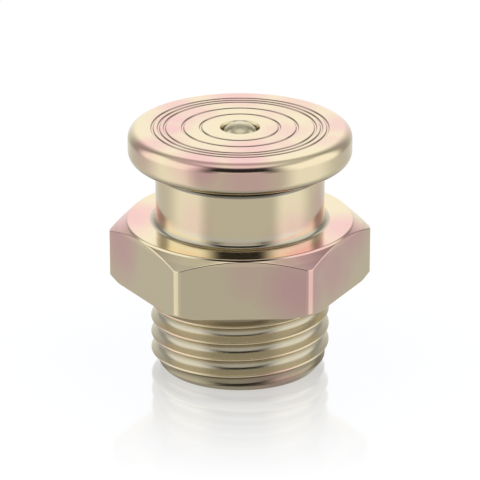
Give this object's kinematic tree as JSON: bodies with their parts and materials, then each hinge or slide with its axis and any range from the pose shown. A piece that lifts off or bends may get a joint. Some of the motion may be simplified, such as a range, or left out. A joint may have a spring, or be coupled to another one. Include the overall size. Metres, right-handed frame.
{
  "type": "flat head grease fitting",
  "caption": "Flat button head grease fitting with a ringed disc head, neck, hexagon and parallel thread, and a sprung check ball inside.",
  "frame": {"origin": "middle of the thread's end face, the lowest face", "axes": "+Z along the turning axis, from the thread to the head; a flat of the hexagon faces -Y"},
  "size_m": [0.019, 0.0166, 0.0185],
  "materials": {
    "plated_steel": "turned steel, yellow passivated zinc plating",
    "ball_steel": "polished ball bearing steel",
    "spring_steel": "drawn spring wire",
    "retainer_steel": "stamped steel, zinc plated"
  },
  "bodies": {
    "fitting": {"fitting_body": "plated_steel", "check_spring": "spring_steel", "spring_retainer": "retainer_steel"},
    "ball": {"check_ball": "ball_steel"}
  },
  "joints": [
    {"name": "ball_lift", "type": "slide", "parent": "fitting", "child": "ball", "axis": [0, 0, -1], "range_m": [0, 0.0012], "stiffness_N_per_m": 1700, "springref_m": -0.0008, "deforming": ["check_spring"]}
  ]
}
